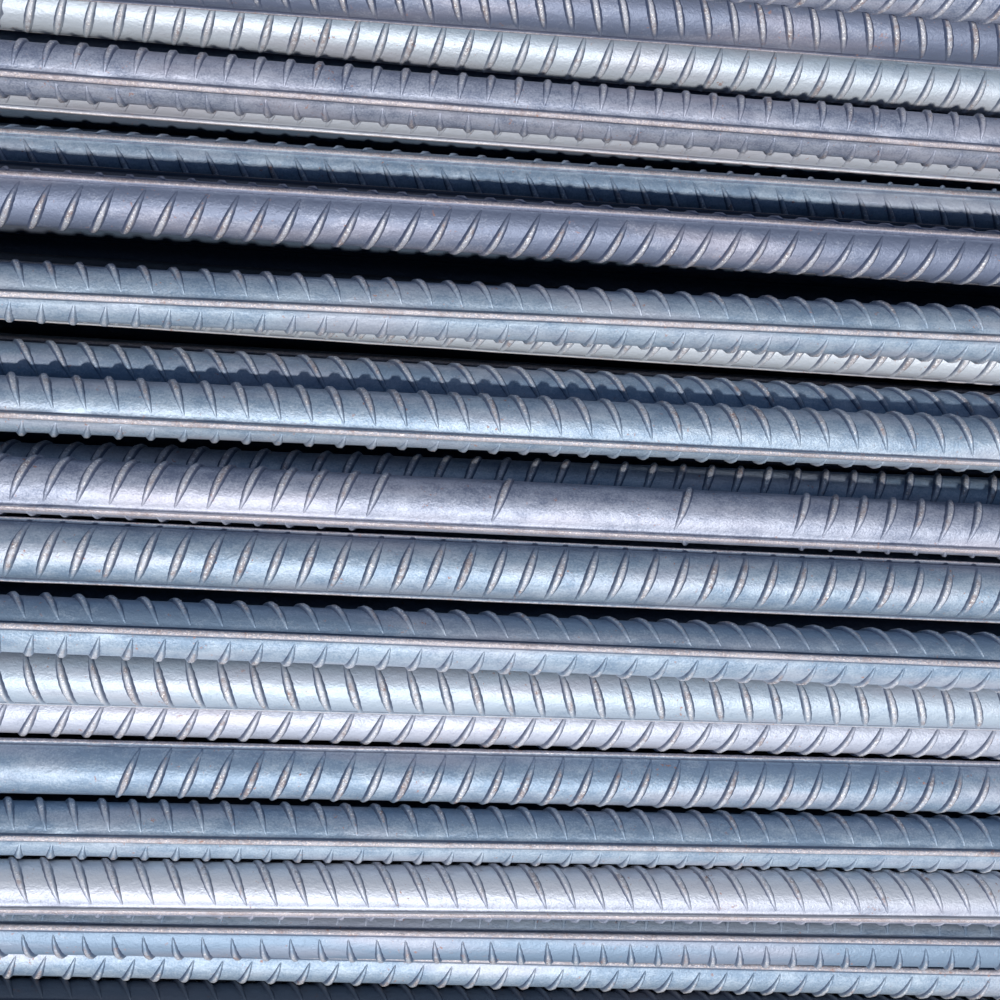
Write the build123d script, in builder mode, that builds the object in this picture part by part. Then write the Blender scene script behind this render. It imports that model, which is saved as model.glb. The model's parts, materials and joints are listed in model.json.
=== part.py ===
"""Loose stack of ribbed steel reinforcing bars, nominal diameter 20 mm, in 6 m stock lengths.

The bars lie side by side along X on a level floor and are heaped in courses, so each one rests in
the hollow between those below it.  Bars on the outside of the heap are pieces of their own, with
the round section and its two longitudinal ribs.  Bars inside the heap are plain rounds, one group
for each course.  Millimetres, +Z up.
"""
from build123d import *
import math
import os

# the bar
BAR_DIA = 20.0
BAR_LENGTH = 6000.0
RIB_WIDTH = 0.1 * BAR_DIA
RIB_HEIGHT = 0.0575 * BAR_DIA
RIB_TIP_RADIUS = BAR_DIA / 2 + RIB_HEIGHT

# the heap
AIR = 0.025 * BAR_DIA
RIB_AIR = 0.015 * BAR_DIA
RIB_SPREAD = 18.5
COURSE_STEP = 1.06
BOW_WIDTH = BAR_LENGTH / 15

# where a bar's path is fixed, as parts of the bar's half length
STATIONS = (-1.0, -0.28, -0.07, 0.07, 0.28, 1.0)


class Bar:
    """One bar: where it lies across the heap, how it is turned about its axis, and its slight bow."""

    def __init__(self, name, across, turn, skew):
        self.name = name
        self.across = across
        self.turn = turn
        self.skew = skew
        self.height = 0.0

    def at(self, x):
        """Sideways place of the centre line at x."""
        return self.across + self.skew * x * math.exp(-((x / BOW_WIDTH) ** 2))


def faces(bar, direction):
    """True if a longitudinal rib of the bar points along direction, in degrees from +Z towards +Y."""
    if bar.turn is None:
        return False
    off = (direction - bar.turn) % 180
    return min(off, 180 - off) < RIB_SPREAD


def lift_over(bar, other, side):
    """How far above another bar this one rests when it lies side mm away from it."""
    reach = BAR_DIA + AIR
    if abs(side) >= reach + 2 * RIB_HEIGHT:
        return None
    for _ in range(3):
        rise = math.sqrt(max(0.0, reach**2 - side**2))
        direction = math.degrees(math.atan2(-side, -rise))
        ribs = faces(bar, direction) + faces(other, direction)
        reach = BAR_DIA + (RIB_HEIGHT * ribs + RIB_AIR if ribs else AIR)
    return rise if abs(side) < reach else None


def rest(bar, laid):
    """Lowers a bar until it meets the floor or a bar already laid."""
    bar.height = RIB_TIP_RADIUS
    for place in STATIONS:
        x = place * BAR_LENGTH / 2
        for other in laid:
            lift = lift_over(bar, other, bar.at(x) - other.at(x))
            if lift is not None:
                bar.height = max(bar.height, other.height + lift)
    laid.append(bar)


def outer(name, across, turn, skew=0.0):
    """A bar that shows: across in bar diameters, turn in degrees from +Z towards +Y, skew in radians."""
    bar = Bar(name, across * BAR_DIA, turn, skew)
    rest(bar, laid)
    shown.append(bar)


def course(name, start, count, step=COURSE_STEP, turn=None):
    """A run of bars inside the heap, all on one course: start and step in bar diameters."""
    group = groups.setdefault(name, [])
    for i in range(count):
        bar = Bar(name, (start + i * step) * BAR_DIA, turn, 0.0)
        rest(bar, laid)
        group.append(bar)


laid = []
shown = []
groups = {}

# floor course, near edge first
outer("bar_floor_near", -11.105, 90.0)
outer("bar_19", -9.83, 14.0, -0.022)
outer("bar_18", -8.795, 12.0, -0.022)
course("course_floor", -7.53, 20, turn=0.0)
outer("bar_floor_far", -7.49 + 20 * COURSE_STEP, 90.0)

# second course
outer("bar_16", -8.12, 11.0, -0.009)
course("course_second", -6.995, 19)
outer("bar_second_far", -6.975 + 19 * COURSE_STEP, 20.0)

# third course
outer("bar_15", -7.15, -42.0)
outer("bar_14", -6.105, -12.5)
outer("bar_13", -5.015, 65.7)
outer("bar_12", -3.94, 33.0)
course("course_third", -2.875, 6)
course("course_third", 3.95, 2, step=1.39)
outer("bar_3", 6.45, 29.0, 0.009)
outer("bar_2_under", 7.77, -101.0, -0.003)
outer("bar_1", 9.225, 41.0, -0.011)
course("course_third", 10.375, 2)
outer("bar_third_far", 12.515, 50.0)

# fourth course
outer("bar_11", -3.345, -108.0)
course("course_fourth", -2.15, 2, step=1.35)
outer("bar_8_under", 0.37, -47.0, 0.015)
outer("bar_6", 2.085, -40.0)
outer("bar_5_under", 3.43, 60.0, -0.013)
outer("bar_4_under", 5.325, 70.0)
outer("bar_2", 7.615, -33.0)
outer("bar_0", 9.705, -118.0, 0.012)
outer("bar_fourth_mid", 10.9, -5.0)
outer("bar_fourth_far", 11.99, -20.0)

# top course
outer("bar_10", -2.52, -4.2, -0.009)
outer("bar_9", -1.255, 83.0, -0.008)
outer("bar_8", -0.13, -53.7, -0.004)
outer("bar_7", 1.385, -42.0, 0.012)
outer("bar_5", 3.4, -19.6, 0.019)
outer("bar_4", 4.975, 33.0, 0.006)
outer("bar_top_mid", 10.16, 30.0)
outer("bar_top_far", 11.325, 75.0)

# the origin is at the middle of the heap's footprint
low_edge = min(b.across - (RIB_TIP_RADIUS if b.turn == 90.0 else BAR_DIA / 2) for b in laid)
high_edge = max(b.across + (RIB_TIP_RADIUS if b.turn == 90.0 else BAR_DIA / 2) for b in laid)
MIDDLE = (low_edge + high_edge) / 2


def add_section(turn):
    """The bar's section: a round, with its two longitudinal ribs if turn is given."""
    Circle(BAR_DIA / 2)
    if turn is not None:
        with Locations(Rotation(0, 0, 90 - turn)):
            Rectangle(2 * RIB_TIP_RADIUS, RIB_WIDTH)


def straight(bars):
    """Straight bars as separate solids of one part."""
    with BuildPart() as part:
        for bar in bars:
            start = Plane(origin=(-BAR_LENGTH / 2, bar.across - MIDDLE, bar.height), x_dir=(0, 1, 0),
                          z_dir=(1, 0, 0))
            with BuildSketch(start):
                add_section(bar.turn)
            extrude(amount=BAR_LENGTH)
    return part


def bowed(bar):
    """One bar that follows its bow."""
    with BuildPart() as part:
        for place in STATIONS:
            x = place * BAR_LENGTH / 2
            origin = (x, bar.at(x) - MIDDLE, bar.height)
            with BuildSketch(Plane(origin=origin, x_dir=(0, 1, 0), z_dir=(1, 0, 0))):
                add_section(bar.turn)
        loft(ruled=True)
    return part


def save(part, name):
    part.part.label = name
    export_step(part.part, f"parts/{name}.step")


if __name__ == "__main__":
    os.makedirs("parts", exist_ok=True)
    for bar in shown:
        save(bowed(bar) if bar.skew else straight([bar]), bar.name)
    for name, bars in groups.items():
        save(straight(bars), name)
    for bar in shown:
        print(f"{bar.name:18s} across {bar.across - MIDDLE:8.2f} height {bar.height:7.2f}")
    for name, bars in groups.items():
        print(name, len(bars), [round(b.height, 1) for b in bars])
    print("bars", len(laid), "middle", MIDDLE)
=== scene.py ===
import json
import math

import bpy
from bpy.props import FloatProperty, FloatVectorProperty, PointerProperty
from mathutils import Matrix, Vector


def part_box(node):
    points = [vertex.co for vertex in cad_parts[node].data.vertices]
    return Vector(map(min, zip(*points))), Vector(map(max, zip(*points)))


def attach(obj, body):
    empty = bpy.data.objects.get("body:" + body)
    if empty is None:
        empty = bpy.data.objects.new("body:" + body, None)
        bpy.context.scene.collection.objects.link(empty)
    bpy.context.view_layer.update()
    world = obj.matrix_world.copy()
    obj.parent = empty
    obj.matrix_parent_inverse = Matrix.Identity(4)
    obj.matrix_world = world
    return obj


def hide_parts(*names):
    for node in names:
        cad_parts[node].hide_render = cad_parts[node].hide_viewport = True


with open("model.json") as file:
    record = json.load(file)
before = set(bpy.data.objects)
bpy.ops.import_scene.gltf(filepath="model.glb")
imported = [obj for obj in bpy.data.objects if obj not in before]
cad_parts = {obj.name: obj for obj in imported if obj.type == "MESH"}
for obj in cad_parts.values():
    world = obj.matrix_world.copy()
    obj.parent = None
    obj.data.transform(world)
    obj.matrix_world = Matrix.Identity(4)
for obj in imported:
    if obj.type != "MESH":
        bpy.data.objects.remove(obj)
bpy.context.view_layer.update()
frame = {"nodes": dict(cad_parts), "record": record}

bl_info = {
    "name": "Stack of ribbed reinforcing bars",
    "version": (1, 0, 0),
    "blender": (4, 5, 0),
    "location": "View3D > Sidebar > Rebar",
    "description": "Ribbed bars with mill scale and rust, laid round the plain bars of the frame",
    "category": "Object",
}

MM = 0.001


def extent(node, axis):
    """A CAD node's size along X, Y or Z."""
    low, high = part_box(node)
    return high[axis] - low[axis]


# The far bar of the floor course has its longitudinal ribs at its sides, so its box gives both radii.  The
# CAD's round stands for the core and the transverse ribs together, so the core is a little thinner.
BAR_LENGTH = extent("bar_10", 0)
CAD_RADIUS = extent("bar_floor_far", 2) / 2
CAD_TIP_RADIUS = extent("bar_floor_far", 1) / 2
CORE_RADIUS = 0.965 * CAD_RADIUS
TIP_RADIUS = CAD_TIP_RADIUS - 0.1 * MM
LONG_RIB_WIDTH = 0.2 * CAD_RADIUS

# Bars that show.
# turn: degrees from +Z towards +Y of one longitudinal rib.
# skew: slope of the bar in the middle of its length, in radians.
# far, near: place along the bar, in mm, of one transverse rib on the +Y and on the -Y side of that rib.
# pitch: spacing of the transverse ribs, in mm.
# lean: how far a transverse rib runs along the bar for its arc.  near_lean: the same for the -Y side's ribs,
# where it differs.
# twist: degrees per metre, in the middle of the bar's length.
# bare: stretches without transverse ribs, in m.
# shade: 0 for the darkest scale to 1 for the palest.  Less paints a bar near black, as dirt and as the
# painted shade of a gap; more paints it paler, towards near white.
# tilt: painted light and shade, how much paler its -Y side, which faces the key light, is painted
# than its top.
BARS = {
    "bar_0": dict(turn=-118.0, shade=-0.12, skew=0.012, lean=-0.3, far=-35.1, near=-31.0, pitch=10.77),
    "bar_1": dict(turn=41.0, shade=1.1, tilt=0.5, skew=-0.011, lean=-0.25, far=-34.0, near=-29.0, pitch=11.0),
    "bar_2": dict(turn=-33.0, shade=0.6, lean=0.13, near_lean=0.07, far=-30.9, near=-27.5, pitch=10.70),
    "bar_2_under": dict(turn=-101.0, shade=1.6, skew=-0.003, lean=0.3, far=-23.2, near=-18.0, pitch=10.91),
    "bar_3": dict(turn=29.0, shade=0.45, skew=0.009, lean=0.5, far=-39.0, near=-42.0, pitch=11.07),
    "bar_4": dict(turn=33.0, shade=-0.07, skew=0.006, lean=-0.42, far=-45.0, near=-51.0, pitch=10.61),
    # painted near black: the shade of the gap below bar_4
    "bar_4_under": dict(turn=70.0, shade=-0.9, lean=0.4, far=0.0, near=4.0, pitch=10.9, bare=((-2.9, 2.9),)),
    "bar_5": dict(turn=-19.6, shade=0.6, skew=0.019, lean=-0.38, near_lean=-0.17, far=-24.0, near=-26.2,
                  pitch=10.69),
    "bar_5_under": dict(turn=60.0, shade=1.7, skew=-0.013, lean=-0.4, far=-15.4, near=-19.05, pitch=10.86),
    "bar_6": dict(turn=-40.0, shade=0.15, lean=-0.55, far=-27.3, near=-24.0, pitch=11.2),
    "bar_7": dict(turn=-42.0, shade=0.5, tilt=0.2, skew=0.012, lean=-0.33, near_lean=-0.2, far=-19.2,
                  near=-17.0, pitch=10.9, twist=60.0),
    "bar_8_under": dict(turn=-47.0, shade=0.3, skew=0.015, lean=0.35, far=-22.0, near=-15.0, pitch=11.03),
    "bar_8": dict(turn=-53.7, shade=0.65, tilt=0.2, skew=-0.004, lean=0.35, far=-12.6, near=-8.0, pitch=10.85,
                  bare=((-0.053, -0.015), (-0.008, 0.052), (0.058, 0.095))),
    "bar_9": dict(turn=83.0, shade=0.5, skew=-0.008, lean=-0.32, far=-10.0, near=-14.75, pitch=10.84),
    "bar_10": dict(turn=-4.2, shade=0.25, tilt=0.4, skew=-0.009, lean=-0.5, near_lean=-0.24, far=-16.5,
                   near=-21.3, pitch=10.77),
    "bar_11": dict(turn=-108.0, shade=1.1, lean=-0.3, far=-6.75, near=-1.0, pitch=11.07),
    "bar_12": dict(turn=33.0, shade=1.12, lean=-0.43, far=-6.0, near=-10.0, pitch=11.22),
    "bar_13": dict(turn=65.7, shade=0.3, lean=-0.35, far=-5.0, near=-8.7, pitch=11.1,
                   bare=((-0.26, -0.152),)),
    "bar_14": dict(turn=-12.5, shade=0.45, tilt=0.25, lean=-0.32, near_lean=-0.17, far=-7.1, near=-3.0,
                   pitch=11.0),
    "bar_15": dict(turn=-42.0, shade=1.3, tilt=-0.8, lean=-0.42, near_lean=-0.22, far=-3.8, near=1.0,
                   pitch=10.9),
    "bar_16": dict(turn=11.0, shade=0.15, tilt=-1.5, skew=-0.009, lean=0.17, far=2.8, near=7.3, pitch=10.76),
    "bar_18": dict(turn=12.0, shade=0.5, skew=-0.022, lean=-0.6, near_lean=-0.33, far=4.0, near=-0.5,
                   pitch=11.0),
    "bar_19": dict(turn=14.0, shade=-0.9, skew=-0.022, lean=-0.5, far=-5.45, near=0.0, pitch=10.85),
    "bar_top_mid": dict(turn=30.0, lean=-0.4, far=-38.0, near=-34.0, pitch=10.8),
    "bar_top_far": dict(turn=75.0, lean=-0.4, far=3.0, near=0.0, pitch=11.0),
    "bar_fourth_mid": dict(turn=-5.0, lean=0.4, far=2.0, near=6.0, pitch=10.9),
    "bar_fourth_far": dict(turn=-20.0, lean=-0.4, far=1.0, near=5.0, pitch=11.0),
    "bar_third_far": dict(turn=50.0, lean=0.3, far=4.0, near=0.0, pitch=11.0),
    "bar_second_far": dict(turn=20.0, lean=-0.4, far=2.0, near=7.0, pitch=10.9),
    "bar_floor_far": dict(turn=90.0, lean=0.5, far=5.0, near=1.0, pitch=11.0),
    "bar_floor_near": dict(turn=90.0, lean=-0.4, far=3.0, near=8.0, pitch=10.9),
}
BARE_STRETCHES = max(len(given.get("bare", ())) for given in BARS.values())

# bars on the far side, plainly shaped over their whole length
UNDETAILED = ("bar_top_far", "bar_fourth_mid", "bar_fourth_far", "bar_third_far", "bar_second_far",
              "bar_floor_far")

# Bars inside the stack, with the same values.  They are painted near black, as the shade deep in the stack.
# Each is turned by one step from the bar beside it and by another from the course below, in degrees,
# except in the floor course.
COURSES = ("course_floor", "course_second", "course_third", "course_fourth")
INNER_SHADE = -0.75
INNER_PITCH = 11.0
INNER_LEAN = 0.4
INNER_FAR = 2.0
INNER_NEAR = 6.0
INNER_SEED = 100
BAR_TURN_STEP = 67.0
COURSE_TURN_STEP = 31.0

# A bar's bow is straight between these places, measured from the middle of its length.
BOW_WIDTH = BAR_LENGTH / 15
BOW_INNER = 0.07 * BAR_LENGTH / 2
BOW_OUTER = 0.28 * BAR_LENGTH / 2

# Transverse ribs.  Their sections are at these parts of the way from the middle to either end, and the reach
# is half their arc.  Their feet are sunk in the core, their size varies from the lowest to 1, and none stands
# nearer to a bar's end than the free end.
FINE_PARTS = (-0.86, -0.66, -0.44, -0.22, 0.0, 0.22, 0.44, 0.66, 0.86)
PLAIN_PARTS = (-0.5, 0.0, 0.5)
RIB_REACH = math.radians(81.0)
RIB_SUNK = 0.3 * MM
RIB_LOWEST = 0.988
RIB_FREE_END = 9.5 * MM

# The less a crescent's taper, the longer it keeps its height.  At its points it has these shares of the width
# of its crest and of its flanks.  Its crest has a shoulder at a share of its height, and is flat over a share
# of its width.  The less the fade of the painted shade at its feet, the nearer it comes to the points.
TAPER = 0.75
POINT_CREST = 0.1
POINT_FLANK = 0.6
SHOULDER_HEIGHT = 0.9
FLAT_WIDTH = 0.55
FOOT_SHADE_FADE = 1.3

# A longitudinal rib is flared at its foot and bevelled at its top.
FLARE_WIDTH = 0.5 * MM
FLARE_HEIGHT = 0.4 * MM
BEVEL_WIDTH = 0.35 * MM
BEVEL_HEIGHT = 0.3 * MM

# How finely a bar is divided: in arcs from one longitudinal rib to the other, and in steps from its middle to
# the end of its fine reach.  An edge stays sharp past the angle.
FINE_ARCS = 18
PLAIN_ARCS = 12
FINE_STEPS = 20
SHARP_ANGLE = math.radians(50.0)

# how close together the lumps on the ribs are, and how far from the middle of its length a bar is twisted
LUMPS = 330.0
TWIST_REACH = 0.3

# Patterns of the scale: how close together their spots are, their detail and their roughness.  The cloudy one
# and the dents are drawn out along the bars.  The broad one is drawn out too, and narrowed across the bars,
# so that it seldom runs over two.
CLOUD = (160.0, 5.0, 0.65)
BROAD = (18.0, 2.0, 0.5)
GRAIN = (1300.0, 3.0, 0.7)
FLECK = (520.0, 4.0, 0.65)
PATCH = (75.0, 3.0, 0.6)
DENTS = (420.0, 3.0, 0.6)
DRAWN_OUT = 0.7
NARROWED = 4.0

# colours of what lies over the mill scale, and how far from a bar's end the cut one starts and is full
# near white for the palest bars, and painted light on the side that the painted side light brightens
BLEACHED_AND_LIT = (0.73, 0.77, 0.83, 1.0)
MAUVE = (0.47, 0.43, 0.50, 1.0)
WORN_CREST = (0.60, 0.61, 0.67, 1.0)
RIDGE = (0.56, 0.48, 0.49, 1.0)
# painted shade in the groove along a longitudinal rib's foot
GROOVE_SHADE = (0.04, 0.05, 0.10, 1.0)
RUST_SPECK = (0.40, 0.21, 0.16, 1.0)
# painted shade at the feet of the transverse ribs
FOOT_SHADE = (0.04, 0.06, 0.13, 1.0)
# painted glints on the crests
GLINT_WHITE = (0.92, 0.91, 0.91, 1.0)
# near black: dirt on some bars, and painted shade on the bars in the stack's gaps
DIRT_AND_SHADE = (0.012, 0.016, 0.03, 1.0)
CUT_STEEL = (0.33, 0.30, 0.285, 1.0)
CUT_START = 0.6 * MM
CUT_FULL = 0.3 * MM

# Lamps: their names, which are those of their strengths too, the spread of their rays in degrees and the
# way to them.
LAMPS = (("key", 2.5, (-0.04, -0.477, 0.879)), ("low", 40.0, (-0.04, -0.87, 0.5)))
LAMP_COLOUR = (1.0, 0.97, 0.92)
SKY_COLOUR = (0.34, 0.56, 1.0, 1.0)
FLOOR_REACH = 30.0

# where the camera stands, and which way its right side and its lens point
CAMERA_PLACE = (-0.07082, -0.07661, 0.5838)
CAMERA_RIGHT = (0.99243, 0.03245, 0.11847)
CAMERA_AHEAD = (0.11467, 0.10119, -0.98823)

# what the first operator makes and the others use
SHAPES = {}


class BarSizes(bpy.types.PropertyGroup):
    """Sizes of one ribbed bar."""

    core_radius: FloatProperty(name="Core radius", description="Radius of the round between the ribs",
                               default=CORE_RADIUS, unit="LENGTH", precision=5)
    tip_radius: FloatProperty(name="Rib tip radius", description="From the axis to the top of a rib",
                              default=TIP_RADIUS, unit="LENGTH", precision=5)
    long_rib_width: FloatProperty(name="Longitudinal rib", description="Width of a longitudinal rib",
                                  default=LONG_RIB_WIDTH, unit="LENGTH", precision=5)
    crest_width: FloatProperty(name="Crest width", description="Width across the top of a transverse rib",
                               default=0.0018, unit="LENGTH", precision=5)
    flank_slope: FloatProperty(name="Flank slope", default=0.82,
                               description="Width of a transverse rib's flank for its height")
    wear: FloatProperty(name="Wear", description="How far the transverse ribs depart from their true shape",
                        default=0.00022, unit="LENGTH", precision=5)
    fine_reach: FloatProperty(name="Fine reach", default=0.205, unit="LENGTH",
                              description="Ribs are finely shaped up to here from the middle")
    inner_reach: FloatProperty(name="Inner reach", default=0.08, unit="LENGTH",
                               description="How far ribs run in from the ends of inner bars")


class ScaleColours(bpy.types.PropertyGroup):
    """Colours of the mill scale and its rust."""

    blue: FloatVectorProperty(name="Blue scale", description="Blue-grey mill scale", subtype="COLOR", size=4,
                              min=0.0, max=1.0, default=(0.20, 0.285, 0.405, 1.0))
    blue_pale: FloatVectorProperty(name="Pale blue scale", description="Paler patches of the blue bars",
                                   subtype="COLOR", size=4, min=0.0, max=1.0, default=(0.40, 0.49, 0.60, 1.0))
    violet: FloatVectorProperty(name="Violet scale", description="Violet-grey mill scale", subtype="COLOR",
                                size=4, min=0.0, max=1.0, default=(0.17, 0.205, 0.305, 1.0))
    violet_pale: FloatVectorProperty(name="Pale violet scale", description="Paler patches of the violet bars",
                                     subtype="COLOR", size=4, min=0.0, max=1.0,
                                     default=(0.42, 0.46, 0.575, 1.0))
    rust: FloatVectorProperty(name="Rust", description="Film of rust on the crests", subtype="COLOR",
                              size=4, min=0.0, max=1.0, default=(0.27, 0.20, 0.195, 1.0))


class StageLook(bpy.types.PropertyGroup):
    """Floor, lamp and sky."""

    floor: FloatVectorProperty(name="Floor", description="Colour of the floor", subtype="COLOR", size=4,
                               min=0.0, max=1.0, default=(0.62, 0.63, 0.65, 1.0))
    key: FloatProperty(name="Key light", description="Strength of the key light", default=3.57)
    low: FloatProperty(name="Low light", default=0.9,
                       description="Strength of the soft light from lower down")
    sky: FloatProperty(name="Sky", description="Strength of the light from all round", default=0.15)
    lens: FloatProperty(name="Lens", description="Focal length of the camera", default=50.79, unit="CAMERA")


def group_input(tree, name, kind, default=None):
    """A named input of a node tree; returns its identifier."""
    item = tree.interface.new_socket(name=name, in_out="INPUT", socket_type=kind)
    if default is not None:
        item.default_value = default
    return item.identifier


class Weaver:
    """Adds nodes to a tree and links them."""

    def __init__(self, tree):
        self.tree = tree

    def node(self, kind, settings=None, **inputs):
        """A new node, with its settings and its inputs by name."""
        made = self.tree.nodes.new(kind)
        for key, value in (settings or {}).items():
            setattr(made, key, value)
        for key, value in inputs.items():
            self.feed(made.inputs[key.replace("_", " ")], value)
        return made

    def feed(self, socket, value):
        """Links another node's output to an input, or sets the input's value."""
        if isinstance(value, bpy.types.NodeSocket):
            self.tree.links.new(value, socket)
        else:
            socket.default_value = value

    def math(self, operation, first, second=None):
        """One step of arithmetic with numbers or sockets."""
        made = self.tree.nodes.new("ShaderNodeMath")
        made.operation = operation
        self.feed(made.inputs[0], first)
        if second is not None:
            self.feed(made.inputs[1], second)
        return made.outputs[0]

    def times(self, first, *others):
        """The product of numbers or sockets."""
        for other in others:
            first = self.math("MULTIPLY", first, other)
        return first

    def total(self, first, *others):
        """The sum of numbers or sockets."""
        for other in others:
            first = self.math("ADD", first, other)
        return first

    def ramp(self, value, low, high, to_low=0.0, to_high=1.0, clamp=True):
        """A value in one range carried over to another."""
        made = self.node("ShaderNodeMapRange", {"clamp": clamp})
        for index, item in enumerate((value, low, high, to_low, to_high)):
            self.feed(made.inputs[index], item)
        return made.outputs[0]

    def layer(self, under, over, amount):
        """One colour laid over another."""
        made = self.node("ShaderNodeMix", {"data_type": "RGBA", "clamp_factor": True})
        for index, item in ((0, amount), (6, under), (7, over)):
            self.feed(made.inputs[index], item)
        return made.outputs[2]

    def stored(self, name):
        """A number that the mesh carries."""
        return self.node("ShaderNodeAttribute", {"attribute_name": name}).outputs["Fac"]

    def noise(self, where, scale, detail, roughness):
        """A cloudy pattern, 0.5 on average."""
        return self.node("ShaderNodeTexNoise", Vector=where, Scale=scale, Detail=detail,
                         Roughness=roughness).outputs[0]


def bow_at(x):
    """How far a bar's centre line lies sideways at x, for a skew of 1."""
    return x * math.exp(-((x / BOW_WIDTH) ** 2))


def add_ribs(w, given, apart, in_bar):
    """The core with its transverse ribs, as one mesh."""
    join = w.node("GeometryNodeJoinGeometry")
    core = w.node("GeometryNodeObjectInfo", Object=given["Core"]).outputs["Geometry"]
    w.tree.links.new(core, join.inputs[0])
    # no rib past the bar's ends or on a bare stretch, and plain ones beyond the fine reach
    away = w.math("ABSOLUTE", apart["X"])
    wanted = in_bar
    for number in range(1, BARE_STRETCHES + 1):
        bare = w.times(w.math("GREATER_THAN", apart["X"], given[f"Bare {number} from"]),
                       w.math("LESS_THAN", apart["X"], given[f"Bare {number} to"]))
        wanted = w.times(wanted, w.math("SUBTRACT", 1.0, bare))
    fine = w.times(wanted, w.math("LESS_THAN", away, given["Fine reach"]))
    plain = w.times(wanted, w.math("GREATER_THAN", away, given["Fine reach"]))
    # a rib stands at every point of a line along the axis, and slants by its arc
    half = w.times(given["Length"], 0.5)
    arc = w.times(w.math("ARCTAN2", apart["Y"], apart["Z"]), given["Core radius"])
    for side, angle, hand in (("Far", -90.0, 1.0), ("Near", 90.0, -1.0)):
        start = given[side + " start"]
        slant = w.node("ShaderNodeCombineXYZ", X=w.times(arc, given[side + " lean"], hand)).outputs[0]
        steps = w.math("FLOOR", w.math("DIVIDE", w.total(start, half), given["Pitch"]))
        first = w.math("SUBTRACT", start, w.times(steps, given["Pitch"]))
        count = w.math("FLOOR", w.math("DIVIDE", given["Length"], given["Pitch"]))
        line = w.node("GeometryNodeMeshLine", {"mode": "OFFSET"},
                      Count=w.total(count, 1.0),
                      Start_Location=w.node("ShaderNodeCombineXYZ", X=first).outputs[0],
                      Offset=w.node("ShaderNodeCombineXYZ", X=given["Pitch"]).outputs[0]).outputs[0]
        varied = w.node("FunctionNodeRandomValue", {"data_type": "FLOAT"}, Seed=given["Seed"])
        varied.inputs[2].default_value = RIB_LOWEST
        varied.inputs[3].default_value = 1.0
        size = w.node("ShaderNodeCombineXYZ", X=1.0, Y=varied.outputs[1], Z=varied.outputs[1]).outputs[0]
        for chosen, name in ((fine, "Fine rib"), (plain, "Plain rib")):
            rib = w.node("GeometryNodeObjectInfo", Object=given[name]).outputs["Geometry"]
            rib = w.node("GeometryNodeSetPosition", Geometry=rib, Offset=slant).outputs[0]
            laid = w.node("GeometryNodeInstanceOnPoints", Points=line, Selection=chosen, Instance=rib,
                          Rotation=(math.radians(angle), 0.0, 0.0), Scale=size).outputs[0]
            w.tree.links.new(laid, join.inputs[0])
    return w.node("GeometryNodeRealizeInstances", Geometry=join.outputs[0]).outputs[0]


def wear_bar(w, given, place, apart, in_bar, bar):
    """Stores what the colours need, then makes the ribs uneven and twists the bar."""
    # crest: 0 on the core and 1 on a rib's top.  side: 0 on a longitudinal rib and 1 or -1 halfway round.
    radius = w.math("SQRT", w.total(w.times(apart["Y"], apart["Y"]), w.times(apart["Z"], apart["Z"])))
    crest = w.ramp(radius, given["Core radius"], given["Tip radius"])
    for name, value in (("crest", crest), ("side", w.math("DIVIDE", apart["Y"], radius)),
                        ("shade", given["Shade"]), ("tilt", given["Tilt"])):
        bar = w.node("GeometryNodeStoreNamedAttribute", {"data_type": "FLOAT", "domain": "POINT"},
                     Geometry=bar, Name=name, Value=value).outputs[0]
    # lumps shove the ribs' surface to and fro
    lumps = w.node("ShaderNodeTexNoise", Vector=place, Scale=LUMPS, Detail=2.0).outputs["Color"]
    shove = w.node("ShaderNodeVectorMath", {"operation": "SUBTRACT"})
    w.feed(shove.inputs[0], lumps)
    w.feed(shove.inputs[1], (0.5, 0.5, 0.5))
    uneven = w.node("ShaderNodeVectorMath", {"operation": "SCALE"})
    w.feed(uneven.inputs[0], shove.outputs[0])
    in_rib = w.times(w.ramp(crest, 0.0, 0.3), in_bar)
    w.feed(uneven.inputs["Scale"], w.times(given["Wear"], 2.0, in_rib))
    bar = w.node("GeometryNodeSetPosition", Geometry=bar, Offset=uneven.outputs[0]).outputs[0]
    held = w.math("MINIMUM", w.math("MAXIMUM", apart["X"], -TWIST_REACH), TWIST_REACH)
    twisted = w.node("ShaderNodeVectorRotate", {"rotation_type": "X_AXIS"}, Vector=place,
                     Angle=w.times(held, given["Twist"])).outputs[0]
    return w.node("GeometryNodeSetPosition", Geometry=bar, Position=twisted).outputs[0]


def lay_bars(w, given, apart, bar):
    """The bar on every axis, turned by the axis's own angle, and bowed."""
    turn = w.node("GeometryNodeInputNamedAttribute", {"data_type": "FLOAT"}, Name="turn").outputs[0]
    turned = w.node("ShaderNodeCombineXYZ", X=w.times(turn, -1.0)).outputs[0]
    bars = w.node("GeometryNodeInstanceOnPoints", Points=given["Axes"], Instance=bar,
                  Rotation=turned).outputs[0]
    bars = w.node("GeometryNodeRealizeInstances", Geometry=bars).outputs[0]
    away = w.math("ABSOLUTE", apart["X"])
    half = w.times(given["Length"], 0.5)
    rise = w.ramp(away, 0.0, given["Bow inner"], 0.0, given["Bow peak"], clamp=False)
    fall = w.ramp(away, given["Bow inner"], given["Bow outer"], given["Bow peak"], given["Bow tail"],
                  clamp=False)
    tail = w.ramp(away, given["Bow outer"], half, given["Bow tail"], 0.0, clamp=False)
    bow = w.math("MINIMUM", rise, w.math("MAXIMUM", fall, tail))
    bow = w.times(bow, w.math("SIGN", apart["X"]), given["Skew"])
    return w.node("GeometryNodeSetPosition", Geometry=bars,
                  Offset=w.node("ShaderNodeCombineXYZ", Y=bow).outputs[0]).outputs[0]


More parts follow.
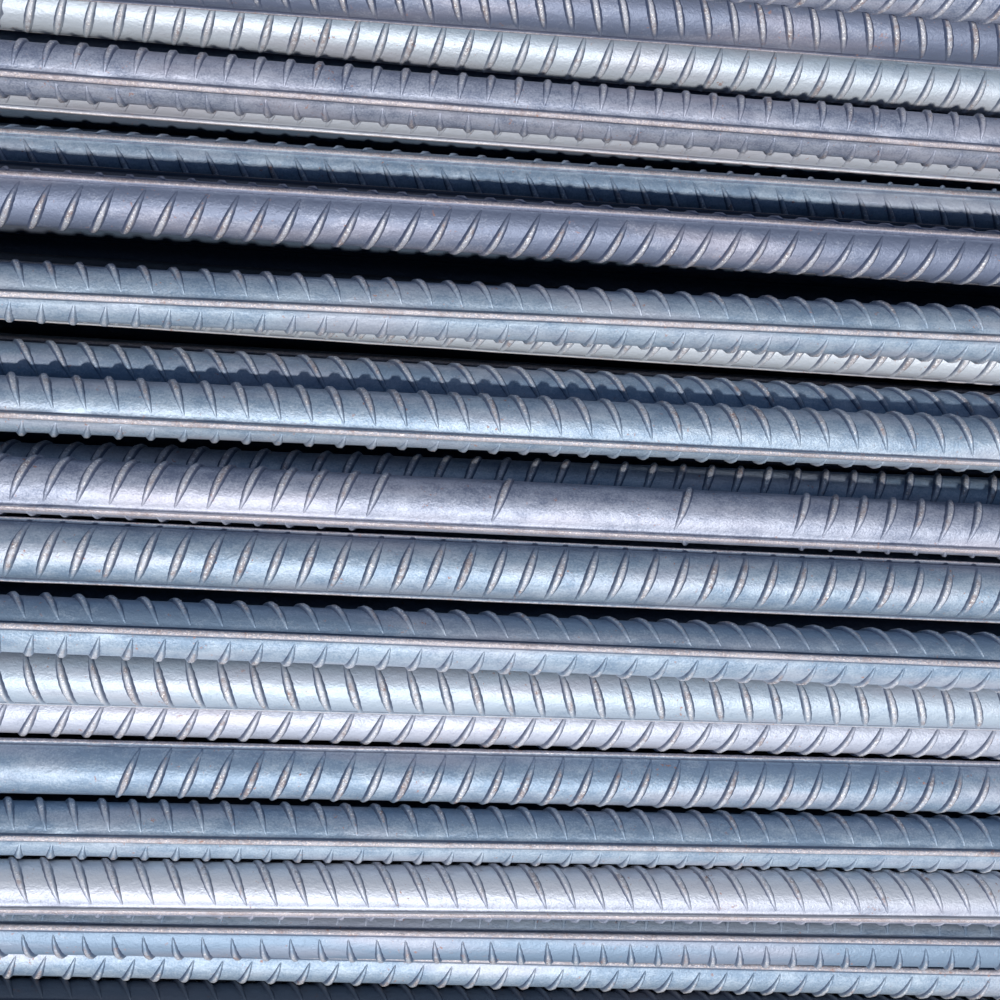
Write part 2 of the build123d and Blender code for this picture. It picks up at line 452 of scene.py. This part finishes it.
def ribbed_bar_tree():
    """Bars on points: core, transverse ribs on both sides, twist, turn and bow."""
    tree = bpy.data.node_groups.new("Ribbed bar", "GeometryNodeTree")
    tree.interface.new_socket(name="Geometry", in_out="OUTPUT", socket_type="NodeSocketGeometry")
    ids = {
        "Axes": group_input(tree, "Axes", "NodeSocketGeometry"),
        "Core": group_input(tree, "Core", "NodeSocketObject"),
        "Fine rib": group_input(tree, "Fine rib", "NodeSocketObject"),
        "Plain rib": group_input(tree, "Plain rib", "NodeSocketObject"),
        "Seed": group_input(tree, "Seed", "NodeSocketInt", 1),
        "Material": group_input(tree, "Material", "NodeSocketMaterial"),
    }
    numbers = {
        "Length": BAR_LENGTH, "Pitch": 0.011, "Far start": 0.0, "Near start": 0.0, "Fine reach": 0.2,
        "Far lean": 0.4, "Near lean": 0.4, "Twist": 0.0, "Skew": 0.0, "Bow inner": BOW_INNER,
        "Bow outer": BOW_OUTER, "Bow peak": bow_at(BOW_INNER), "Bow tail": bow_at(BOW_OUTER),
        "Core radius": CORE_RADIUS, "Tip radius": TIP_RADIUS, "Wear": 0.0, "Shade": 0.5, "Tilt": 0.0,
    }
    for number in range(1, BARE_STRETCHES + 1):
        numbers[f"Bare {number} from"] = 0.0
        numbers[f"Bare {number} to"] = 0.0
    for name, default in numbers.items():
        ids[name] = group_input(tree, name, "NodeSocketFloat", default)
    w = Weaver(tree)
    given = w.node("NodeGroupInput").outputs
    place = w.node("GeometryNodeInputPosition").outputs[0]
    apart = w.node("ShaderNodeSeparateXYZ", Vector=place).outputs
    last = w.math("SUBTRACT", w.times(given["Length"], 0.5), RIB_FREE_END)
    in_bar = w.math("LESS_THAN", w.math("ABSOLUTE", apart["X"]), last)
    bar = add_ribs(w, given, apart, in_bar)
    bar = wear_bar(w, given, place, apart, in_bar, bar)
    bars = lay_bars(w, given, apart, bar)
    bars = w.node("GeometryNodeSetMaterial", Geometry=bars, Material=given["Material"]).outputs[0]
    w.node("NodeGroupOutput", Geometry=bars)
    return tree, ids


def mesh_object(name, points, faces):
    """A mesh object in the scene."""
    mesh = bpy.data.meshes.new(name)
    mesh.from_pydata(points, [], faces)
    mesh.update()
    made = bpy.data.objects.new(name, mesh)
    bpy.context.scene.collection.objects.link(made)
    return made


def section(sizes, arcs):
    """Points of the bar's section, as (radius, angle), with a longitudinal rib at 0 and at 180 degrees."""
    half = sizes.long_rib_width / 2
    bend = (half + 0.4 * FLARE_WIDTH, sizes.core_radius + FLARE_HEIGHT)
    below = sizes.tip_radius - BEVEL_HEIGHT
    edge = [(sizes.core_radius, math.atan2(half + FLARE_WIDTH, sizes.core_radius)),
            (math.hypot(*bend), math.atan2(*bend)),
            (below, math.atan2(half, below)),
            (sizes.tip_radius, math.atan2(half - BEVEL_WIDTH, sizes.tip_radius))]
    points = []
    for base in (0.0, math.pi):
        points += [(r, base + a) for r, a in reversed(edge)]
        start = edge[0][1]
        span = math.pi - 2 * start
        points += [(sizes.core_radius, base + start + span * i / arcs) for i in range(1, arcs)]
        points += [(r, base + math.pi - a) for r, a in edge]
    return points


def core_mesh(name, sizes, arcs, stations):
    """The bar without its transverse ribs, closed at both ends."""
    ring = section(sizes, arcs)
    count = len(ring)
    points = [(x, r * math.sin(a), r * math.cos(a)) for x in stations for r, a in ring]
    faces = []
    for k in range(len(stations) - 1):
        for i in range(count):
            j = (i + 1) % count
            faces.append((k * count + i, (k + 1) * count + i, (k + 1) * count + j, k * count + j))
    faces.append(tuple(range(count)))
    top = (len(stations) - 1) * count
    faces.append(tuple(top + i for i in reversed(range(count))))
    return mesh_object(name, points, faces)


def rib_mesh(name, sizes, parts, fine):
    """A crescent rib straight across half the bar, its middle towards +Z, pointed at both ends."""
    sunk = sizes.core_radius - RIB_SUNK
    tall = sizes.tip_radius - sizes.core_radius
    points = []
    feet = []
    for part in parts:
        rest = 1 - part * part
        height = tall * rest ** TAPER + RIB_SUNK
        crest = sizes.crest_width / 2 * (POINT_CREST + (1 - POINT_CREST) * rest)
        foot = crest + sizes.flank_slope * height * (POINT_FLANK + (1 - POINT_FLANK) * rest)
        flat = FLAT_WIDTH * crest
        if fine:
            profile = ((-foot, 0.0), (-crest, SHOULDER_HEIGHT), (-flat, 1.0), (flat, 1.0),
                       (crest, SHOULDER_HEIGHT), (foot, 0.0))
        else:
            profile = ((-foot, 0.0), (0.0, 1.0), (foot, 0.0))
        for side, lift in profile:
            radius = sunk + height * lift
            points.append((side, radius * math.sin(RIB_REACH * part), radius * math.cos(RIB_REACH * part)))
            feet.append(rest ** FOOT_SHADE_FADE if lift == 0.0 else 0.0)
    row = len(profile)
    start = len(points)
    for tip in (-1, 1):
        points.append((0.0, sunk * math.sin(RIB_REACH * tip), sunk * math.cos(RIB_REACH * tip)))
        feet.append(0.0)
    faces = []
    for i in range(row):
        j = (i + 1) % row
        faces.append((start, j, i))
        for k in range(len(parts) - 1):
            faces.append((k * row + i, k * row + j, (k + 1) * row + j, (k + 1) * row + i))
        faces.append((start + 1, start - row + i, start - row + j))
    rib = mesh_object(name, points, faces)
    rib.data.attributes.new("foot", "FLOAT", "POINT").data.foreach_set("value", feet)
    return rib


def axes_of(node):
    """Centre line (y, z) of each bar in a CAD node, from the faces of its ends at +X."""
    mesh = frame["nodes"][node].data
    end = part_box(node)[1][0] - 0.1 * MM
    # corners that share a face of an end belong to one bar
    owner = {}
    for face in mesh.polygons:
        corners = [mesh.vertices[i].co for i in face.vertices]
        keys = [(round(spot.y, 5), round(spot.z, 5)) for spot in corners if spot.x > end]
        if len(keys) < 3:
            continue
        merged = set(keys)
        for key in keys:
            merged |= owner.get(key, set())
        for key in merged:
            owner[key] = merged
    groups = []
    for merged in owner.values():
        if merged not in groups:
            groups.append(merged)
    axes = []
    for merged in groups:
        ys = [key[0] for key in merged]
        zs = [key[1] for key in merged]
        axes.append(((min(ys) + max(ys)) / 2, (min(zs) + max(zs)) / 2))
    return sorted(axes)


def scale_material(name, dark, pale, rust, shift):
    """Hot-rolled mill scale: cloudy colour, fine grain, worn and rusty crests, specks of rust."""
    material = bpy.data.materials.new(name)
    material.use_nodes = True
    tree = material.node_tree
    tree.nodes.clear()
    w = Weaver(tree)
    where = w.node("ShaderNodeTexCoord").outputs["Object"]
    drawn = w.node("ShaderNodeMapping", Vector=where, Location=(shift, 0.0, 0.0),
                   Scale=(DRAWN_OUT, 1.0, 1.0)).outputs[0]
    each_bar = w.node("ShaderNodeMapping", Vector=where, Location=(shift, 0.0, 0.0),
                      Scale=(DRAWN_OUT, NARROWED, NARROWED)).outputs[0]
    facing = w.node("ShaderNodeSeparateXYZ", Vector=w.node("ShaderNodeNewGeometry").outputs["Normal"]).outputs
    crest = w.stored("crest")
    shade = w.stored("shade")
    side = w.math("ABSOLUTE", w.stored("side"))
    cloud = w.noise(drawn, *CLOUD)
    broad = w.noise(each_bar, *BROAD)
    grain = w.noise(where, *GRAIN)
    fleck = w.noise(where, *FLECK)
    patch = w.noise(where, *PATCH)
    dents = w.noise(drawn, *DENTS)

    # the scale: dark and pale clouds, by how pale the bar is, with painted light and shade that make one side
    # of a bar paler and the other darker
    paleness_and_side_light = w.math("SUBTRACT", shade, w.times(w.stored("tilt"), facing["Y"]))
    mottle = [w.ramp(pattern, 0.3, 0.7, -amount, amount, clamp=False)
              for pattern, amount in ((cloud, 0.48), (grain, 0.42), (broad, 0.3))]
    skin = w.layer(dark, pale, w.total(*mottle, paleness_and_side_light))
    # paler towards near white past a paleness of 1; painted light where the painted side light carries it
    # there
    skin = w.layer(skin, BLEACHED_AND_LIT, w.ramp(paleness_and_side_light, 1.0, 2.0))
    skin = w.layer(skin, MAUVE, w.ramp(broad, 0.5, 0.68, 0.0, 0.35))

    # worn crests, the top of a longitudinal rib and painted shade in the groove along its foot
    across = w.ramp(side, 0.16, 0.22)
    top = w.ramp(crest, 0.66, 0.86)
    skin = w.layer(skin, WORN_CREST, w.times(across, 0.6, top))
    ridge = w.times(w.ramp(side, 0.09, 0.105, 1.0, 0.0), w.ramp(grain, 0.4, 0.6, 0.35, 0.8))
    skin = w.layer(skin, RIDGE, ridge)
    groove_shade = w.times(w.ramp(side, 0.1, 0.118), w.ramp(side, 0.15, 0.18, 0.7, 0.0))
    skin = w.layer(skin, GROOVE_SHADE, groove_shade)

    # a film of rust on the crests, and specks of it
    film = w.times(w.ramp(crest, 0.5, 0.8), w.ramp(w.total(fleck, patch), 0.98, 1.2),
                   w.ramp(across, 0.0, 1.0, 0.4, 0.65))
    speck = w.times(w.ramp(fleck, 0.63, 0.67), w.ramp(patch, 0.52, 0.60, 0.0, 0.8))
    skin = w.layer(w.layer(skin, rust, film), RUST_SPECK, speck)

    # painted shade at the ribs' feet, painted glints on crests, near black for dirt and painted gap shade
    # painted shade: darker at the transverse ribs' feet, most where they face up
    foot_shade = w.times(w.ramp(w.stored("foot"), 0.0, 0.35), w.ramp(facing["Z"], 0.05, 0.6, 0.15, 0.8))
    skin = w.layer(skin, FOOT_SHADE, foot_shade)
    # painted glints: near-white spots on the crests' tops
    bare = w.times(top, w.ramp(grain, 0.575, 0.61))
    skin = w.layer(skin, GLINT_WHITE, w.times(bare, w.ramp(across, 0.0, 1.0, 0.3, 0.9)))
    # near black below a shade of 0: dirt, and painted shade on the bars in the gaps
    skin = w.layer(skin, DIRT_AND_SHADE, w.ramp(shade, -1.0, 0.0, 0.9, 0.0))

    # the cut ends
    along = w.math("ABSOLUTE", w.node("ShaderNodeSeparateXYZ", Vector=where).outputs["X"])
    cut = w.ramp(along, BAR_LENGTH / 2 - CUT_START, BAR_LENGTH / 2 - CUT_FULL, 0.0, 0.85)
    skin = w.layer(skin, CUT_STEEL, cut)

    # how rough it is to the touch and to the light
    relief = w.total(w.times(grain, w.ramp(top, 0.0, 1.0, 0.6, 1.3)), dents)
    bump = w.node("ShaderNodeBump", Strength=0.55, Distance=0.5 * MM, Height=relief).outputs[0]
    rusted = w.math("MAXIMUM", film, speck)
    rough = w.math("SUBTRACT", w.ramp(rusted, 0.0, 1.0, 0.5, 0.78), w.times(bare, 0.12))
    shader = w.node("ShaderNodeBsdfPrincipled", Base_Color=skin, Metallic=0.33, Roughness=rough, Normal=bump)
    w.node("ShaderNodeOutputMaterial", Surface=shader.outputs[0])
    return material


def make_bars(context, name, axes, given, material, fine, seed):
    """Runs the bar tree on axes given as (y, z, turn) and returns a plain mesh object."""
    sizes = context.scene.rebar_sizes
    holder = mesh_object(name + ".axes", [(0.0, y, z) for y, z, turn in axes], [])
    turns = holder.data.attributes.new("turn", "FLOAT", "POINT")
    turns.data.foreach_set("value", [math.radians(turn) for y, z, turn in axes])
    tree, ids = SHAPES["tree"]
    modifier = holder.modifiers.new("Bars", "NODES")
    modifier.node_group = tree
    values = {
        "Core": SHAPES["fine core" if fine else "plain core"],
        "Fine rib": SHAPES["fine rib"],
        "Plain rib": SHAPES["plain rib"],
        "Length": BAR_LENGTH,
        "Pitch": given["pitch"] * MM,
        "Far start": given["far"] * MM,
        "Near start": given["near"] * MM,
        "Fine reach": sizes.fine_reach if fine else 0.0,
        "Far lean": given["lean"],
        "Near lean": given.get("near_lean", given["lean"]),
        "Twist": math.radians(given.get("twist", 0.0)),
        "Skew": given.get("skew", 0.0),
        "Core radius": sizes.core_radius,
        "Tip radius": sizes.tip_radius,
        "Wear": sizes.wear,
        "Shade": given.get("shade", 0.5),
        "Tilt": given.get("tilt", 0.0),
        "Seed": seed,
        "Material": material,
    }
    for stretch, edges in enumerate(given.get("bare", ())):
        values[f"Bare {stretch + 1} from"], values[f"Bare {stretch + 1} to"] = edges
    for key, value in values.items():
        modifier[ids[key]] = value
    graph = context.evaluated_depsgraph_get()
    mesh = bpy.data.meshes.new_from_object(holder.evaluated_get(graph), preserve_all_data_layers=True,
                                           depsgraph=graph)
    holder.modifiers.clear()
    bpy.data.objects.remove(holder)
    mesh.name = name
    mesh.shade_smooth()
    mesh.set_sharp_from_angle(angle=SHARP_ANGLE)
    made = bpy.data.objects.new(name, mesh)
    context.scene.collection.objects.link(made)
    return made


def colour(name):
    """One of the scene's colours."""
    return tuple(getattr(bpy.context.scene.rebar_colours, name))


def slot_of(node):
    """The material slot that the record gives a node."""
    for row in frame["record"]["subparts"]:
        if row["node"] == node:
            return row["material_slot"]
    raise KeyError(node)


class REBAR_OT_shapes(bpy.types.Operator):
    """Makes the shapes that the bars repeat: the core and the transverse rib, finely and plainly."""

    bl_idname = "rebar.shapes"
    bl_label = "Bar and rib shapes"

    def execute(self, context):
        sizes = context.scene.rebar_sizes
        half = BAR_LENGTH / 2
        ends = (-half, -BOW_OUTER, -BOW_INNER, BOW_INNER, BOW_OUTER, half)
        middle = [sizes.fine_reach * i / FINE_STEPS for i in range(-FINE_STEPS, FINE_STEPS + 1)]
        SHAPES["tree"] = ribbed_bar_tree()
        SHAPES["fine core"] = core_mesh("fine_core", sizes, FINE_ARCS, sorted({*ends, *middle}))
        SHAPES["plain core"] = core_mesh("plain_core", sizes, PLAIN_ARCS, ends)
        SHAPES["fine rib"] = rib_mesh("fine_rib", sizes, FINE_PARTS, True)
        SHAPES["plain rib"] = rib_mesh("plain_rib", sizes, PLAIN_PARTS, False)
        for name, shift in (("violet", 1.7), ("blue", 0.0)):
            SHAPES[name] = scale_material(name + "_scale", colour(name), colour(name + "_pale"),
                                          colour("rust"), shift)
        return {"FINISHED"}


class REBAR_OT_outer_bars(bpy.types.Operator):
    """Makes each bar that shows, with both longitudinal ribs and its transverse ribs."""

    bl_idname = "rebar.outer_bars"
    bl_label = "Bars that show"

    def execute(self, context):
        for seed, (node, given) in enumerate(BARS.items()):
            low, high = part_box(node)
            axis = ((low[1] + high[1]) / 2, (low[2] + high[2]) / 2, given["turn"])
            slot = slot_of(node)
            material = SHAPES["violet" if slot == "scale_violet" else "blue"]
            bar = make_bars(context, "ribbed_" + node, [axis], given, material, node not in UNDETAILED, seed)
            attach(bar, "root")
            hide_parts(node)
        return {"FINISHED"}


class REBAR_OT_inner_bars(bpy.types.Operator):
    """Makes the bars inside the stack, with transverse ribs near their ends only."""

    bl_idname = "rebar.inner_bars"
    bl_label = "Bars inside the stack"

    def execute(self, context):
        sizes = context.scene.rebar_sizes
        inner = BAR_LENGTH / 2 - sizes.inner_reach
        for course, node in enumerate(COURSES):
            lean = INNER_LEAN if course % 2 else -INNER_LEAN
            given = dict(shade=INNER_SHADE, lean=lean, pitch=INNER_PITCH, far=INNER_FAR + course,
                         near=INNER_NEAR, bare=((-inner, inner),))
            axes = []
            for i, (y, z) in enumerate(axes_of(node)):
                turn = (i * BAR_TURN_STEP + course * COURSE_TURN_STEP) % 180
                axes.append((y, z, 0.0 if node == "course_floor" else turn))
            bars = make_bars(context, "inner_" + node, axes, given, SHAPES["blue"], False,
                             INNER_SEED + course)
            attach(bars, "root")
            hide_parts(node)
        # the core and the ribs on their own aren't pieces of the stack
        for key, shape in list(SHAPES.items()):
            if isinstance(shape, bpy.types.Object):
                bpy.data.objects.remove(SHAPES.pop(key))
        return {"FINISHED"}


class REBAR_OT_stage(bpy.types.Operator):
    """Sets the floor, the key light, the sky and the camera."""

    bl_idname = "rebar.stage"
    bl_label = "Floor, light and camera"

    def execute(self, context):
        scene = context.scene
        look = scene.rebar_stage
        corners = [(FLOOR_REACH * x, FLOOR_REACH * y, 0.0) for x, y in ((-1, -1), (1, -1), (1, 1), (-1, 1))]
        floor = mesh_object("floor", corners, [(0, 1, 2, 3)])
        paint = bpy.data.materials.new("floor_paint")
        paint.use_nodes = True
        shader = paint.node_tree.nodes["Principled BSDF"]
        shader.inputs["Base Color"].default_value = tuple(look.floor)
        shader.inputs["Roughness"].default_value = 0.9
        floor.data.materials.append(paint)

        for name, spread, towards in LAMPS:
            lamp = bpy.data.lights.new(name, "SUN")
            lamp.energy = getattr(look, name)
            lamp.angle = math.radians(spread)
            lamp.color = LAMP_COLOUR
            light = bpy.data.objects.new(name, lamp)
            light.matrix_world = Vector(towards).to_track_quat("Z", "Y").to_matrix().to_4x4()
            scene.collection.objects.link(light)

        world = bpy.data.worlds.new("sky")
        world.use_nodes = True
        backdrop = world.node_tree.nodes["Background"]
        backdrop.inputs["Color"].default_value = SKY_COLOUR
        backdrop.inputs["Strength"].default_value = look.sky
        scene.world = world

        camera = bpy.data.cameras.new("camera")
        camera.sensor_width = 36.0
        camera.lens = look.lens
        camera.clip_start = 0.01
        camera.clip_end = 200.0
        camera.dof.use_dof = False
        viewer = bpy.data.objects.new("camera", camera)
        right = Vector(CAMERA_RIGHT).normalized()
        back = -Vector(CAMERA_AHEAD).normalized()
        up = back.cross(right).normalized()
        turned = Matrix((right, up, back)).transposed().to_4x4()
        viewer.matrix_world = Matrix.Translation(CAMERA_PLACE) @ turned
        scene.collection.objects.link(viewer)
        scene.camera = viewer
        scene.view_settings.view_transform = "Standard"
        return {"FINISHED"}


class REBAR_PT_panel(bpy.types.Panel):
    """The bars' sizes, colours and steps."""

    bl_idname = "REBAR_PT_panel"
    bl_label = "Rebar stack"
    bl_space_type = "VIEW_3D"
    bl_region_type = "UI"
    bl_category = "Rebar"

    def draw(self, context):
        for group, names in ((context.scene.rebar_sizes, BarSizes.__annotations__),
                             (context.scene.rebar_colours, ScaleColours.__annotations__),
                             (context.scene.rebar_stage, StageLook.__annotations__)):
            box = self.layout.box()
            for name in names:
                box.prop(group, name)
        for operator in OPERATORS:
            self.layout.operator(operator.bl_idname)


OPERATORS = (REBAR_OT_shapes, REBAR_OT_outer_bars, REBAR_OT_inner_bars, REBAR_OT_stage)
CLASSES = (BarSizes, ScaleColours, StageLook) + OPERATORS + (REBAR_PT_panel,)


def register():
    """Adds the operators, the panel and the scene's sizes and colours."""
    for item in CLASSES:
        bpy.utils.register_class(item)
    bpy.types.Scene.rebar_sizes = PointerProperty(type=BarSizes)
    bpy.types.Scene.rebar_colours = PointerProperty(type=ScaleColours)
    bpy.types.Scene.rebar_stage = PointerProperty(type=StageLook)


def unregister():
    """Takes away what register added."""
    del bpy.types.Scene.rebar_sizes
    del bpy.types.Scene.rebar_colours
    del bpy.types.Scene.rebar_stage
    for item in reversed(CLASSES):
        bpy.utils.unregister_class(item)


def main():
    """Makes the stack and its stage."""
    register()
    bpy.ops.rebar.shapes()
    bpy.ops.rebar.outer_bars()
    bpy.ops.rebar.inner_bars()
    bpy.ops.rebar.stage()


if __name__ == "__main__":
    main()
